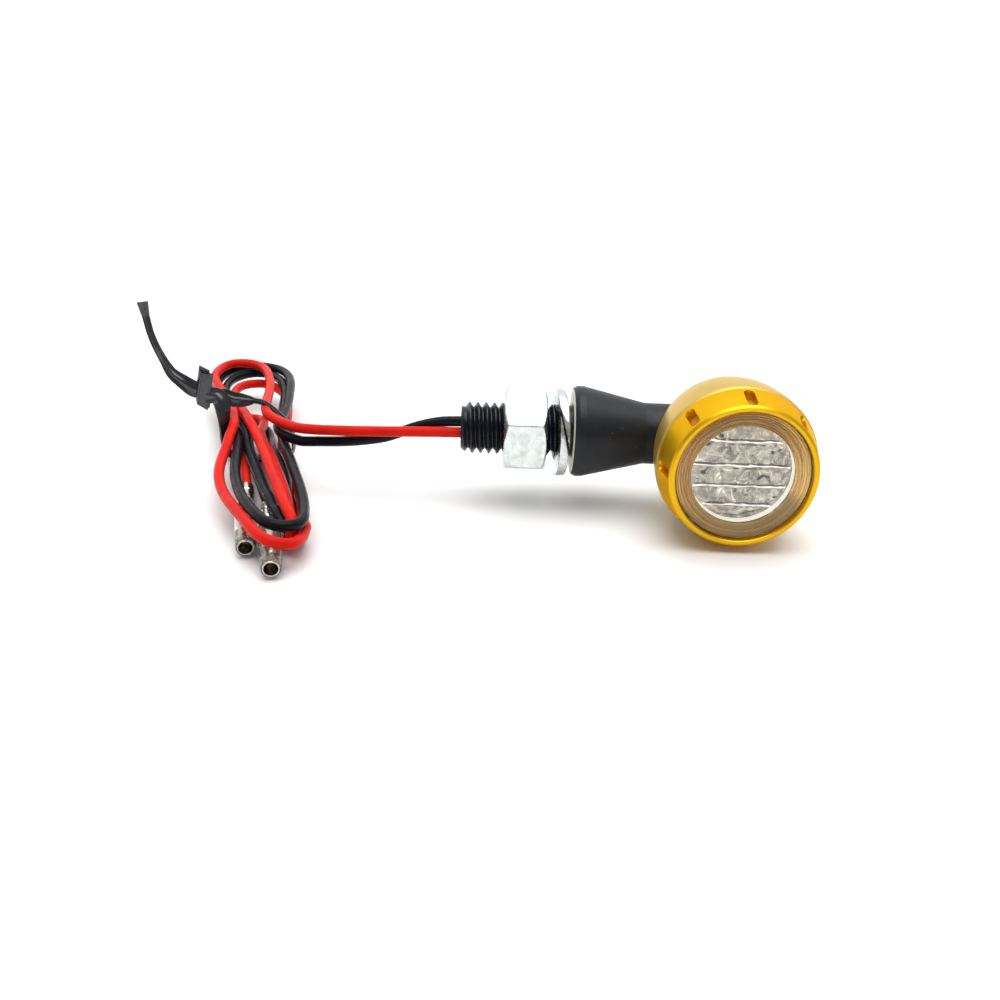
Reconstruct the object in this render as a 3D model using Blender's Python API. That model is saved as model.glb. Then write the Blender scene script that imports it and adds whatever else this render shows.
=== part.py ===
"""Motorcycle turn signal indicator: an LED bullet head on a rubber stem, with a hollow threaded stud, and two
leads folded into a tied hank.

Stud frame, in millimetres: the origin is on the stud's axis at the end plate's outer face, +X runs along the
stud towards the head, the lens looks along -Y and +Z is up. The whole part hangs under one empty that puts the
world origin at the middle of the base of the object without its leads.
"""

import math

import bmesh
import bpy
from mathutils import Matrix, Vector

MM = 0.001

# Head
HEAD_X = 22.4  # the lens axis crosses the stud's axis here
HOUSING_R = 11.6
SHOULDER_Y = -11.9  # where the housing's bullet shape starts
BULLET_LENGTH = 20.0
BULLET_STEPS = 10
HEAD_SEGMENTS = 40
WALL = 1.3
SLEEVE_R = 9.65  # the housing's front sleeve, inside the bezel ring
SLEEVE_BORE_R = 8.6
SLEEVE_FRONT_Y = -15.15
RING_FRONT_Y = -17.25
RING_REAR_Y = -12.1
RING_REAR_R = 11.4
RING_FRONT_R = 10.45
RING_BORE_R = 9.95
LIP_R = 9.6
LIP_BACK_Y = -16.8
SLOT_COUNT = 8
SLOT_WIDTH = 1.3
SLOT_LENGTH = 4.0
LENS_R = 9.35
LENS_FLANGE_R = 9.68
LENS_DISC_R = 7.3

# Stud, plate, nut and washer
STUD_END_X = -17.2
STUD_BORE_R = 2.1
THREAD_PITCH = 1.25
THREAD_CREST_R = 3.9
THREAD_ROOT_R = 3.15
FIRST_CREST_X = -16.25
CREST_COUNT = 12
NECK_R = 3.86
FLANGE_X = 1.3  # the stud's flange and spigot sit inside the rubber stem
FLANGE_R = 4.9
FLANGE_THICKNESS = 1.2
SPIGOT_R = 3.0
SPIGOT_END_X = 4.5
PLATE_BORE_R = 4.2
PLATE_THICKNESS = 1.0
PLATE_R = 6.1
NUT_X = -7.6
NUT_HALF = 3.2
NUT_ACROSS_FLATS = 12.0
NUT_BORE_R = 4.05
WASHER_X = -2.4
WASHER_R = 6.6
WASHER_BORE_R = 4.2
WASHER_THICKNESS = 1.4
WASHER_TILT = math.radians(5)
NUT_CORNER_RISE = math.radians(23)  # how far above the lens side the nut's and the washer's marks are turned

# Stem
BASE_R = 6.86
RIM_X = -0.5  # the rubber rim stands this far past the plate's face
RIM_ROUND = 0.6
RECESS_R = 6.25
STEM_NECK_R = 4.63
CONE_END_X = 10.5
FLEX_X = 6.5  # centre of the bend in the rubber stem
INSERT_R = 2.5
INSERT_BORE_R = 1.9
INSERT_END_X = 21.2
BOSS_FACE_X = 16.5
BOSS_R = 4.4
INSERT_NUT_ACROSS_FLATS = 7.0
LOCK_WASHER_R = 3.5
LOCK_WASHER_THICKNESS = 0.6

# Leads
WIRE_R = 0.8
HANK_BASE = 0.7
HANK_TOP = 9.0
TERMINAL_LENGTH = 18.0
TERMINAL_R = 1.18
SLEEVE_OUTER_R = 1.55

GAP = 0.3

COLOURS = {
    "gold": ((0.72, 0.50, 0.20), 0.3, 1.0),
    "clear": ((0.85, 0.87, 0.88), 0.05, 0.0),
    "silver": ((0.80, 0.80, 0.82), 0.15, 1.0),
    "board": ((0.85, 0.85, 0.82), 0.5, 0.0),
    "led": ((0.90, 0.62, 0.15), 0.3, 0.0),
    "component": ((0.03, 0.03, 0.03), 0.4, 0.0),
    "rubber": ((0.018, 0.018, 0.02), 0.65, 0.0),
    "black_plastic": ((0.02, 0.02, 0.022), 0.4, 0.0),
    "plate": ((0.58, 0.54, 0.48), 0.5, 0.0),
    "zinc": ((0.70, 0.71, 0.72), 0.25, 1.0),
    "tinned": ((0.75, 0.73, 0.68), 0.2, 1.0),
    "red_pvc": ((0.72, 0.02, 0.015), 0.4, 0.0),
    "black_pvc": ((0.02, 0.02, 0.023), 0.4, 0.0),
    "tie": ((0.03, 0.03, 0.035), 0.35, 0.0),
    "vinyl": ((0.85, 0.85, 0.86), 0.1, 0.0),
}


# Scene and material helpers


def clear_scene():
    for obj in list(bpy.data.objects):
        bpy.data.objects.remove(obj, do_unlink=True)


def material(name):
    found = bpy.data.materials.get(name)
    if found:
        return found
    colour, roughness, metallic = COLOURS[name]
    made = bpy.data.materials.new(name)
    made.use_nodes = True
    shader = made.node_tree.nodes["Principled BSDF"]
    shader.inputs["Base Color"].default_value = (*colour, 1)
    shader.inputs["Roughness"].default_value = roughness
    shader.inputs["Metallic"].default_value = metallic
    return made


def empty(name, parent, location):
    made = bpy.data.objects.new(name, None)
    bpy.context.scene.collection.objects.link(made)
    made.parent = parent
    made.location = Vector(location) * MM
    return made


def from_bmesh(name, bm, finish, parent, location=(0, 0, 0), smooth=True):
    """Makes the bmesh, given in millimetres, an object under parent."""
    bmesh.ops.scale(bm, vec=(MM, MM, MM), verts=bm.verts)
    bmesh.ops.recalc_face_normals(bm, faces=bm.faces)
    mesh = bpy.data.meshes.new(name)
    bm.to_mesh(mesh)
    bm.free()
    mesh.materials.append(material(finish))
    if smooth:
        mesh.shade_smooth()
        mesh.set_sharp_from_angle(angle=math.radians(35))
    made = bpy.data.objects.new(name, mesh)
    bpy.context.scene.collection.objects.link(made)
    made.parent = parent
    made.location = Vector(location) * MM
    return made


# Shape helpers


def along(axis, distance, radius):
    """A point at this distance along the axis letter, and this far out from it."""
    return (distance, 0, radius) if axis == "X" else (0, distance, radius)


def turned(name, outline, finish, parent, axis="X", location=(0, 0, 0), segments=32):
    """Turns a closed outline of (distance, radius) points about the axis. On-axis points close the ends."""
    bm = bmesh.new()
    ring = [bm.verts.new(along(axis, distance, radius)) for distance, radius in outline]
    edges = []
    for first, second in zip(ring, ring[1:] + ring[:1]):
        on_axis = first.co.z == 0 and second.co.z == 0
        if not on_axis:
            edges.append(bm.edges.new((first, second)))
    bmesh.ops.spin(
        bm,
        geom=ring + edges,
        cent=(0, 0, 0),
        axis=along(axis, 1, 0),
        angle=2 * math.pi,
        steps=segments,
        use_merge=True,
    )
    bmesh.ops.remove_doubles(bm, verts=bm.verts, dist=1e-4)
    return from_bmesh(name, bm, finish, parent, location)


def block(name, size, finish, parent, location):
    bm = bmesh.new()
    bmesh.ops.create_cube(bm, size=1)
    bmesh.ops.scale(bm, vec=size, verts=bm.verts)
    return from_bmesh(name, bm, finish, parent, location, smooth=False)


def prism(name, outline, low, high, finish, parent):
    """Extrudes a closed outline of (x, y) points from low to high along Z."""
    bm = bmesh.new()
    face = bm.faces.new([bm.verts.new((x, y, low)) for x, y in outline])
    raised = bmesh.ops.extrude_face_region(bm, geom=[face])["geom"]
    points = [v for v in raised if isinstance(v, bmesh.types.BMVert)]
    bmesh.ops.translate(bm, vec=(0, 0, high - low), verts=points)
    return from_bmesh(name, bm, finish, parent)


def obround_cutter(name, width, length, depth, parent):
    """A slot-shaped cutter, its length along Y and its depth along Z, centred on its own origin."""
    turns = 8
    half = length / 2 - width / 2
    outline = []
    for end in (1, -1):
        for i in range(turns + 1):
            angle = math.pi * i / turns + (0 if end > 0 else math.pi)
            outline.append((width / 2 * math.cos(angle), end * half + width / 2 * math.sin(angle)))
    return as_cutter(prism(name, outline, -depth / 2, depth / 2, "gold", parent))


def as_cutter(obj):
    obj.hide_render = True
    obj.display_type = "WIRE"
    return obj


def turn(axis, angle):
    return Matrix.Rotation(angle, 3, axis)


def bore(name, radius, half_length, parent, location=(0, 0, 0), segments=32):
    """A round cutter along X."""
    outline = [(-half_length, 0), (-half_length, radius), (half_length, radius), (half_length, 0)]
    return as_cutter(turned(name, outline, "gold", parent, location=location, segments=segments))


def combine(target, operation, other):
    modifier = target.modifiers.new(other.name, "BOOLEAN")
    modifier.operation = operation
    modifier.object = other
    modifier.solver = "EXACT"


def smooth_route(points, step, closed=False):
    """Points about a step apart on a Catmull-Rom curve through the given ones."""
    points = [Vector(p) for p in points]
    count = len(points)
    spans = count if closed else count - 1
    route = []
    for i in range(spans):
        if closed:
            a, b, c, d = (points[(i + k) % count] for k in (-1, 0, 1, 2))
        else:
            a, b, c, d = (points[min(max(i + k, 0), count - 1)] for k in (-1, 0, 1, 2))
        pieces = max(1, round((c - b).length / step))
        for k in range(pieces):
            t = k / pieces
            pull = (c - a) * t + (2 * a - 5 * b + 4 * c - d) * t**2 + (3 * b - a - 3 * c + d) * t**3
            route.append(b + pull / 2)
    if not closed:
        route.append(points[-1])
    return route


def tube(name, points, radius, finish, parent, step):
    """A round wire along a smooth curve through the points."""
    curve = bpy.data.curves.new(name, "CURVE")
    curve.dimensions = "3D"
    curve.bevel_depth = radius * MM
    curve.bevel_resolution = 2
    curve.use_fill_caps = True
    route = smooth_route(points, step)
    spline = curve.splines.new("POLY")
    spline.points.add(len(route) - 1)
    for point, place in zip(spline.points, route):
        point.co = (*(place * MM), 1)
    curve.materials.append(material(finish))
    made = bpy.data.objects.new(name, curve)
    bpy.context.scene.collection.objects.link(made)
    made.parent = parent
    return made


def arc(centre, radius, start, end, steps):
    """(distance, radius) points of an arc, its angles in degrees."""
    points = []
    for i in range(steps + 1):
        angle = math.radians(start + (end - start) * i / steps)
        points.append((centre[0] + radius * math.cos(angle), centre[1] + radius * math.sin(angle)))
    return points


# Stud, plate, nut and washer


def mounting_stud(parent):
    """The hollow stud. Its thread is plain grooves at the thread's pitch, with no helix."""
    outline = [(STUD_END_X, STUD_BORE_R), (STUD_END_X, THREAD_ROOT_R)]
    crest_half = THREAD_PITCH / 16
    for i in range(CREST_COUNT):
        crest = FIRST_CREST_X + THREAD_PITCH * i
        outline += [(crest - crest_half, THREAD_CREST_R), (crest + crest_half, THREAD_CREST_R)]
        outline += [(crest + THREAD_PITCH / 2, THREAD_ROOT_R)]
    neck_start = outline[-1][0] + THREAD_PITCH / 2
    outline += [(neck_start, NECK_R), (FLANGE_X, NECK_R)]
    flange_end = FLANGE_X + FLANGE_THICKNESS
    outline += [(FLANGE_X, FLANGE_R), (flange_end, FLANGE_R), (flange_end, SPIGOT_R)]
    outline += [(SPIGOT_END_X, SPIGOT_R), (SPIGOT_END_X, STUD_BORE_R)]
    turned("mounting_stud", outline, "black_plastic", parent, segments=20)


def end_plate(parent):
    outline = [(0, PLATE_BORE_R), (0, PLATE_R - 0.2), (0.2, PLATE_R)]
    outline += [(PLATE_THICKNESS, PLATE_R), (PLATE_THICKNESS, PLATE_BORE_R)]
    turned("end_plate", outline, "plate", parent)


def hex_nut(parent):
    """The nut slides along the stud, and its own origin is at its middle."""
    corner_r = NUT_ACROSS_FLATS / math.sqrt(3)
    bm = bmesh.new()
    bmesh.ops.create_cone(
        bm, cap_ends=True, segments=6, radius1=corner_r, radius2=corner_r, depth=2 * NUT_HALF
    )
    bmesh.ops.rotate(bm, matrix=turn("Y", math.pi / 2), verts=bm.verts)
    bmesh.ops.rotate(bm, matrix=turn("X", -NUT_CORNER_RISE), verts=bm.verts)
    nut = from_bmesh("hex_nut", bm, "zinc", parent, (NUT_X, 0, 0))
    face_r = NUT_ACROSS_FLATS / 2 - 0.2
    edge_x = NUT_HALF - 0.75
    chamfer = [(-NUT_HALF, 0), (-NUT_HALF, face_r), (-edge_x, corner_r + 0.2)]
    chamfer += [(edge_x, corner_r + 0.2), (NUT_HALF, face_r), (NUT_HALF, 0)]
    combine(nut, "INTERSECT", as_cutter(turned("nut_chamfer", chamfer, "zinc", nut)))
    combine(nut, "DIFFERENCE", bore("nut_bore", NUT_BORE_R, NUT_HALF + 1, nut))


def spring_washer(parent):
    """A split washer, loose on the stud and leaning. The slit is cut at a slant on the lens side."""
    half = WASHER_THICKNESS / 2
    outline = [(-half, WASHER_BORE_R), (-half, WASHER_R), (half, WASHER_R), (half, WASHER_BORE_R)]
    washer = turned("spring_washer", outline, "zinc", parent, location=(WASHER_X, 0, 0), segments=48)
    washer.rotation_euler = (0, WASHER_TILT, 0)
    slit = block("washer_slit", (6.0, 6.0, 0.45), "zinc", washer, (0, 0, 0))
    middle = (WASHER_R + WASHER_BORE_R) / 2
    slit.location = Vector((0, -middle * math.cos(NUT_CORNER_RISE), middle * math.sin(NUT_CORNER_RISE))) * MM
    slit.rotation_euler = (-NUT_CORNER_RISE, math.radians(60), 0)
    combine(washer, "DIFFERENCE", as_cutter(slit))


# Stem


def stem_boot(flex):
    """The rubber stem: a cone round the plate and the stud's flange, and a neck that meets the housing."""
    neck_end = HEAD_X - 6.5
    rim = arc((RIM_X + RIM_ROUND, BASE_R - RIM_ROUND), RIM_ROUND, 180, 90, 3)
    outline = [(RIM_X, RECESS_R), *rim, (0.9, BASE_R)]
    outline += [(CONE_END_X, STEM_NECK_R), (neck_end, STEM_NECK_R)]
    outline += [(neck_end, INSERT_R + GAP), (10.1, INSERT_R + GAP), (10.1, 3.9), (8.3, 3.9), (8.3, 2.4)]
    outline += [(4.8, 2.4), (4.8, 3.3), (2.8, 3.3), (2.8, 5.2), (1.3, 5.2), (1.3, RECESS_R)]
    boot = turned("stem_boot", outline, "rubber", flex, location=(-FLEX_X, 0, 0))
    clearance = bullet_outline(HOUSING_R + GAP, BULLET_LENGTH + GAP, SHOULDER_Y, BULLET_STEPS)
    clearance = [(RING_REAR_Y - 4, 0), (RING_REAR_Y - 4, HOUSING_R + GAP), *clearance]
    cutter = turned("boot_end", clearance, "rubber", flex, "Y", (HEAD_X - FLEX_X, 0, 0), segments=HEAD_SEGMENTS)
    combine(boot, "DIFFERENCE", as_cutter(cutter))


def bullet_outline(radius, length, start, steps):
    """A quarter ellipse from the shoulder to the bullet's tip, as (distance, radius) points."""
    points = []
    for i in range(steps + 1):
        angle = math.pi / 2 * i / steps
        points.append((start + length * math.sin(angle), radius * math.cos(angle)))
    points[-1] = (start + length, 0)
    return points


def stem_insert(head):
    outline = [(8.6, INSERT_BORE_R), (8.6, 3.6), (9.8, 3.6), (9.8, INSERT_R)]
    outline += [(INSERT_END_X - 0.3, INSERT_R), (INSERT_END_X, INSERT_R - 0.3), (INSERT_END_X, INSERT_BORE_R)]
    turned("stem_insert", outline, "zinc", head, location=(-HEAD_X, 0, 0), segments=24)


def insert_fasteners(head):
    """A lock washer and a nut hold the stem's insert against the housing's inner boss."""
    start = BOSS_FACE_X - HEAD_X + GAP
    inner = INSERT_R + 0.15
    end = start + LOCK_WASHER_THICKNESS
    lock = [(start, inner), (start, LOCK_WASHER_R), (end, LOCK_WASHER_R), (end, inner)]
    turned("lock_washer", lock, "zinc", head, segments=24)
    nut_half = 1.25
    corner_r = INSERT_NUT_ACROSS_FLATS / math.sqrt(3)
    bm = bmesh.new()
    bmesh.ops.create_cone(
        bm, cap_ends=True, segments=6, radius1=corner_r, radius2=corner_r, depth=2 * nut_half
    )
    bmesh.ops.rotate(bm, matrix=turn("Y", math.pi / 2), verts=bm.verts)
    nut = from_bmesh("insert_nut", bm, "zinc", head, (end + 0.4 + nut_half, 0, 0))
    combine(nut, "DIFFERENCE", bore("insert_nut_bore", inner, nut_half + 1, nut, segments=24))


# Head. Its pieces are placed from the point where the lens axis crosses the stud's axis.


def head_housing(head):
    outer = bullet_outline(HOUSING_R, BULLET_LENGTH, SHOULDER_Y, BULLET_STEPS)
    inner = bullet_outline(HOUSING_R - WALL, BULLET_LENGTH - WALL - 0.1, SHOULDER_Y, BULLET_STEPS)
    inner = [point for point in inner if point[1] < SLEEVE_BORE_R]
    outline = [(SLEEVE_FRONT_Y, SLEEVE_BORE_R), (SLEEVE_FRONT_Y, SLEEVE_R), (SHOULDER_Y, SLEEVE_R), *outer]
    outline += [*reversed(inner), (inner[0][0] - 0.6, SLEEVE_BORE_R)]
    housing = turned("head_housing", outline, "gold", head, "Y", segments=HEAD_SEGMENTS)
    boss_start = -HOUSING_R - 1
    boss_end = BOSS_FACE_X - HEAD_X
    boss_half = (boss_end - boss_start) / 2
    boss = bore("boss", BOSS_R, boss_half, head, (boss_start + boss_half, 0, 0))
    limit_outline = [(SHOULDER_Y - 1, 0), (SHOULDER_Y - 1, HOUSING_R - 0.5)]
    limit_outline += bullet_outline(HOUSING_R - 0.5, BULLET_LENGTH - 0.5, SHOULDER_Y, BULLET_STEPS)
    limit = as_cutter(turned("boss_limit", limit_outline, "gold", head, "Y", segments=HEAD_SEGMENTS))
    combine(boss, "INTERSECT", limit)
    combine(housing, "UNION", boss)
    hole = bore("stem_hole", INSERT_R + GAP, 5, head, (boss_end - 4, 0, 0))
    combine(housing, "DIFFERENCE", hole)


def bezel_ring(head):
    outline = [(RING_REAR_Y, RING_BORE_R), (RING_REAR_Y, RING_REAR_R - 0.1), (RING_REAR_Y - 0.1, RING_REAR_R)]
    outline += [(-16.7, RING_FRONT_R), (-17.1, RING_FRONT_R - 0.15), (RING_FRONT_Y, RING_FRONT_R - 0.4)]
    outline += [(RING_FRONT_Y, LIP_R + 0.12), (RING_FRONT_Y + 0.12, LIP_R), (LIP_BACK_Y, LIP_R)]
    outline += [(LIP_BACK_Y, RING_BORE_R)]
    ring = turned("bezel_ring", outline, "gold", head, "Y", segments=HEAD_SEGMENTS)
    middle_y = (RING_FRONT_Y + RING_REAR_Y) / 2
    for i in range(SLOT_COUNT):
        angle = 2 * math.pi * i / SLOT_COUNT
        cutter = obround_cutter(f"slot_{i}", SLOT_WIDTH, SLOT_LENGTH, 4, head)
        out = Vector((math.sin(angle), 0, math.cos(angle))) * RING_REAR_R
        cutter.location = (out + Vector((0, middle_y, 0))) * MM
        cutter.rotation_euler = (0, angle, 0)
        combine(ring, "DIFFERENCE", cutter)


def lens(head):
    outline = [(-17.1, 0), (-17.1, LENS_DISC_R), (-16.75, LENS_DISC_R + 0.5), (-16.9, LENS_R)]
    outline += [(-16.6, LENS_R), (-16.6, LENS_FLANGE_R), (-16.15, LENS_FLANGE_R), (-16.15, 8.6)]
    outline += [(-15.7, 8.2), (-15.7, 0)]
    turned("lens", outline, "clear", head, "Y", segments=HEAD_SEGMENTS)


def lens_seal(head):
    angles = [i * math.pi / 4 for i in range(8)]
    outline = [(-15.6 + 0.25 * math.cos(a), 9.3 + 0.3 * math.sin(a)) for a in angles]
    turned("lens_seal", outline, "rubber", head, "Y")


def inner_optic(head):
    turned("inner_optic", [(-15.4, 0), (-15.4, 7.2), (-14.2, 7.2), (-14.2, 0)], "clear", head, "Y")


def reflector(head):
    outline = [(-13.9, 7.6), (-13.9, 8.3), (-8.6, 5.9), (-8.6, 5.2)]
    turned("reflector", outline, "silver", head, "Y")


def led_board(head):
    turned("led_board", [(-8.2, 0), (-8.2, 7.6), (-7.2, 7.6), (-7.2, 0)], "board", head, "Y")
    for i in range(3):
        angle = 2 * math.pi * i / 3 + math.pi / 2
        place = (2.6 * math.cos(angle), -9.2, 2.6 * math.sin(angle))
        block(f"led_{i + 1}", (2.8, 1.4, 2.8), "led", head, place)
    block("resistor", (3.0, 0.9, 1.6), "component", head, (3.6, -6.45, 4.8))
    block("diode", (3.4, 1.3, 1.8), "component", head, (3.6, -6.25, -4.8))


# Leads


def inner_leads(root, head):
    """The leads inside the stud, and on from the insert to the board. The rubber between them bends."""
    for name, side in (("red", -1), ("black", 1)):
        stud_end = (STUD_END_X + 1.4, 0.4 * side, 0.75 * side)
        stud_run = [stud_end, (-8, 0.2 * side, 0.83 * side), (4.2, 0, 0.85 * side)]
        tube(f"{name}_lead_in_stud", stud_run, WIRE_R, f"{name}_pvc", root, 6)
        run = [(9.0, 0, 0.85 * side), (15.0, 0, 0.85 * side), (21.5, 0, 0.85 * side)]
        run += [(24.0, -1.2, 1.4 * side), (25.2, -3.9, 2.1 * side), (25.3, -6.9, 2.3 * side)]
        run = [(x - HEAD_X, y, z) for x, y, z in run]
        tube(f"{name}_lead_in_head", run, WIRE_R, f"{name}_pvc", head, 3)


RED_LEAD = [
    (-16.2, -0.4, 10.85),
    (-17.4, -0.4, 10.85),
    (-20.5, -0.5, 10.85),
    (-24, -0.6, 10.8),
    (-29.5, -0.2, 10.5),
    (-35.5, 1.2, 9.9),
    (-40.5, 3.3, 9.2),
    (-44, 6, 8.6),
]
BLACK_LEAD = [
    (-16.2, 0.4, 12.35),
    (-17.4, 0.4, 12.35),
    (-20.5, 0.95, 11.95),
    (-24, 1.25, 10.95),
    (-27, 1.4, 9.7),
    (-29.5, 1.4, 8.9),
    (-34, 1.7, 8.1),
    (-39, 3.2, 7.3),
    (-43.3, 5.1, 6.6),
]
HANK_OUTLINE = [
    (-46.4, 11),
    (-47, 18),
    (-46.6, 27),
    (-47.8, 39),
    (-53, 48.5),
    (-60, 47),
    (-63.6, 39),
    (-61.5, 29),
    (-56.8, 20),
    (-55.6, 11),
    (-55.6, 1),
    (-53, -9),
    (-48, -21),
    (-42, -28.5),
    (-37, -26),
    (-36.2, -18),
    (-38.4, -11),
    (-41.6, -3),
    (-44.8, 5),
]


def lead_tubes(floor):
    tube("red_wire", RED_LEAD, WIRE_R, "red_pvc", floor, 3)
    tube("black_wire", BLACK_LEAD, WIRE_R, "black_pvc", floor, 3)


def wire_hank(floor):
    """The outer shape of the tied hank. Its near end lies over the terminals, in a channel under it."""
    outline = [(p.x, p.y) for p in smooth_route([(x, y, 0) for x, y in HANK_OUTLINE], 3.5, closed=True)]
    hank = prism("wire_hank", outline, HANK_BASE, HANK_TOP, "black_pvc", floor)
    channel = block("terminal_channel", (22, 29.4, 9.4), "black_pvc", floor, (-45, -19.1, 0))
    combine(hank, "DIFFERENCE", as_cutter(channel))


def twist_tie(floor):
    """A ribbon tie: a band round the hank's waist, the twisted block beside it, and the stiff raised tail."""
    low_x, high_x = -57.1, -44.9
    band = block("twist_tie", (high_x - low_x, 4.2, 10.2), "tie", floor, ((low_x + high_x) / 2, 13, 5.15))
    opening = block("tie_opening", (high_x - low_x - 1.6, 6, 9.0), "tie", band, (0, 0, 0))
    combine(band, "DIFFERENCE", as_cutter(opening))
    knot = block("tie_knot", (2.6, 3.6, 6.4), "tie", floor, (-58.2, 14.2, 10.4))
    combine(band, "UNION", as_cutter(knot))
    low_edge = [(-58.6, 10), (-62, 10.6), (-64.6, 12), (-66.6, 15.4), (-68.2, 20), (-69.2, 24.6)]
    high_edge = [(x + 0.95, z + 0.6) for x, z in reversed(low_edge)]
    bm = bmesh.new()
    face = bm.faces.new([bm.verts.new((x, 14.2, z)) for x, z in low_edge + high_edge])
    raised = bmesh.ops.extrude_face_region(bm, geom=[face])["geom"]
    bmesh.ops.translate(bm, vec=(0, 2, 0), verts=[v for v in raised if isinstance(v, bmesh.types.BMVert)])
    tail = as_cutter(from_bmesh("tie_tail", bm, "tie", floor))
    combine(band, "UNION", tail)


def terminal(name, crimp, nose, floor):
    """A tinned bullet terminal with an open nose, and the clear sleeve over its body."""
    crimp, nose = Vector(crimp), Vector(nose)
    r, length = TERMINAL_R, TERMINAL_LENGTH
    outline = [(0, WIRE_R), (0, 1.15), (4.4, 1.15), (4.8, 0.95), (5.6, 0.95), (6.2, r)]
    outline += [(length - 0.5, r), (length - 0.15, r - 0.12), (length, r - 0.28), (length, WIRE_R)]
    body = turned(f"{name}_terminal", outline, "tinned", floor, segments=20)
    start, end, inner_r = 5.5, length - 1.4, r + 0.25
    sleeve_outline = [(start, inner_r), (start, SLEEVE_OUTER_R), (end, SLEEVE_OUTER_R), (end, inner_r)]
    sleeve = turned(f"{name}_terminal_sleeve", sleeve_outline, "vinyl", floor, segments=20)
    for piece in (body, sleeve):
        piece.location = crimp * MM
        piece.rotation_euler = (nose - crimp).to_track_quat("X", "Z").to_euler()


def build():
    clear_scene()
    rear_y = SHOULDER_Y + BULLET_LENGTH
    middle_x = (STUD_END_X + HEAD_X + HOUSING_R) / 2
    middle_y = (RING_FRONT_Y + rear_y) / 2
    root = empty("turn_signal", None, (-middle_x, -middle_y, HOUSING_R))
    flex = empty("flex_centre", root, (FLEX_X, 0, 0))
    head = empty("head_centre", flex, (HEAD_X - FLEX_X, 0, 0))
    floor = empty("floor_level", root, (0, 0, -HOUSING_R))
    mounting_stud(root)
    end_plate(root)
    hex_nut(root)
    spring_washer(root)
    stem_boot(flex)
    for make in (stem_insert, insert_fasteners, head_housing, bezel_ring, lens, lens_seal):
        make(head)
    for make in (inner_optic, reflector, led_board):
        make(head)
    inner_leads(root, head)
    lead_tubes(floor)
    wire_hank(floor)
    twist_tie(floor)
    terminal("red", (-48.83, -6.1, 2.9), (-45.45, -23.75, 1.65), floor)
    terminal("black", (-44.4, -12.15, 2.75), (-40.97, -29.76, 1.65), floor)


build()
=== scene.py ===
"""The looks of the turn signal indicator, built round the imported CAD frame.

Shapes are given in millimetres in the stud frame: the origin is on the stud's axis at the end plate's
outer face, +X runs along the stud to the head, the lens looks along -Y and +Z is up. The points of the
leads and of the tie hold their height above the floor instead of Z.
"""

import math

import bmesh
import bpy
import numpy as np
from mathutils import Matrix, Vector


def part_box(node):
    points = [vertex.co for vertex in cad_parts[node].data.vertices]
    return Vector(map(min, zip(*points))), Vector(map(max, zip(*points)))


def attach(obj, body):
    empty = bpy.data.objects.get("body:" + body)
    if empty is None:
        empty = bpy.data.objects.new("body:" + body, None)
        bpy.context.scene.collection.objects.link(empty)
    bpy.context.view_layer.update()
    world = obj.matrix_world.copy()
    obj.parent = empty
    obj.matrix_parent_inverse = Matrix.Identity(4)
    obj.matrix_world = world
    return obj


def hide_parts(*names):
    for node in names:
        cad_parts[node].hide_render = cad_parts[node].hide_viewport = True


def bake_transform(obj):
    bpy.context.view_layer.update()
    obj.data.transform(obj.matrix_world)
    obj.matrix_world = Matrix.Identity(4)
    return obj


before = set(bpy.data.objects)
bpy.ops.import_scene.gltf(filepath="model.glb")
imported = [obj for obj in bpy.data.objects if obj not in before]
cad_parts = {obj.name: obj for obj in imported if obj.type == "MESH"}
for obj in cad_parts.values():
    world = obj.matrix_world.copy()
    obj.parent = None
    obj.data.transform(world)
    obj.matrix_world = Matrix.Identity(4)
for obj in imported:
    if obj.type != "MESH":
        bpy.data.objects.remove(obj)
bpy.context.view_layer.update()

MM = 0.001
stud_low, stud_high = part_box("mounting_stud")
ORIGIN = Vector((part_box("end_plate")[0].x, (stud_low.y + stud_high.y) / 2, (stud_low.z + stud_high.z) / 2))
ring_low, ring_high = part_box("bezel_ring")
HEAD_X = ((ring_low.x + ring_high.x) / 2 - ORIGIN.x) / MM
HEAD = (HEAD_X, 0, 0)
FLOOR = np.array((0, 0, -ORIGIN.z / MM))
TURN = 2 * math.pi
SHARP = 35  # degrees between two faces from which their edge is sharp
SEGMENTS, HEAD_SEGMENTS = 128, 160  # steps round a turned piece
WELD, SLIVER = 2e-6, 1e-7  # metres below which points are merged and edges dissolved


# Geometry helpers


def place(points):
    """Stud-frame millimetres to world metres."""
    return np.asarray(points, float) * MM + np.array(ORIGIN)


def new_object(name, data):
    obj = bpy.data.objects.new(name, data)
    bpy.context.scene.collection.objects.link(obj)
    return obj


def add_mesh(name, points, faces, finish, body=None, sharp=SHARP):
    """A mesh from stud-frame points, in world metres, riding on a body."""
    mesh = bpy.data.meshes.new(name)
    mesh.from_pydata(place(points).tolist(), [], [list(face) for face in faces])
    obj = new_object(name, mesh)
    clean(obj)
    if finish:
        mesh.materials.append(finish)
    shade(obj, sharp)
    if body:
        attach(obj, body)
    return obj


def clean(obj):
    """Merges doubled points, removes slivers and turns the normals outwards."""
    bm = bmesh.new()
    bm.from_mesh(obj.data)
    bmesh.ops.remove_doubles(bm, verts=bm.verts, dist=WELD)
    bmesh.ops.dissolve_degenerate(bm, edges=bm.edges, dist=SLIVER)
    bmesh.ops.recalc_face_normals(bm, faces=bm.faces)
    bm.to_mesh(obj.data)
    bm.free()


def shade(obj, sharp=SHARP):
    obj.data.shade_smooth()
    obj.data.set_sharp_from_angle(angle=math.radians(sharp))


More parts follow.
